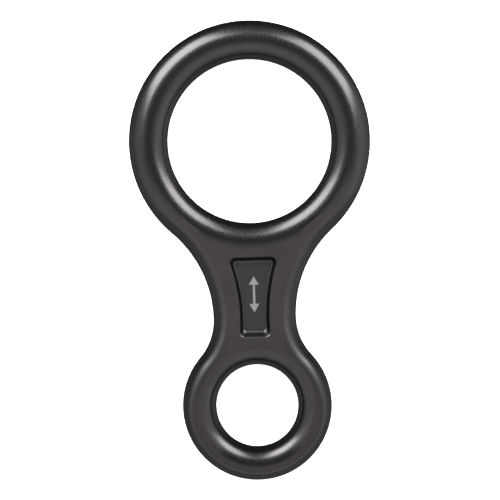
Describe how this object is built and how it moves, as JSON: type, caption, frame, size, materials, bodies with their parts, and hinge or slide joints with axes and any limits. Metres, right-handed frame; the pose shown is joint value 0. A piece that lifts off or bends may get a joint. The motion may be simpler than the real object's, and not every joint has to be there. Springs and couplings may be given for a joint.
{
  "type": "rope descender",
  "caption": "Flat figure-eight rope descender: a large rope eye and a smaller connector eye joined by a waisted web with a shallow pocket, forged in one piece.",
  "frame": {"origin": "centre of the connector eye (the small one), on the parting plane halfway through the thickness", "axes": "+X across the rings, +Y along the load line towards the rope eye (the large one), +Z through the thickness, along both eyes"},
  "size_m": [0.0737, 0.1403, 0.012],
  "materials": {
    "anodised_alloy": "closed-die forged aluminium alloy, tumbled, hard anodised black, satin"
  },
  "bodies": {
    "root": {"descender_body": "anodised_alloy"}
  },
  "joints": []
}
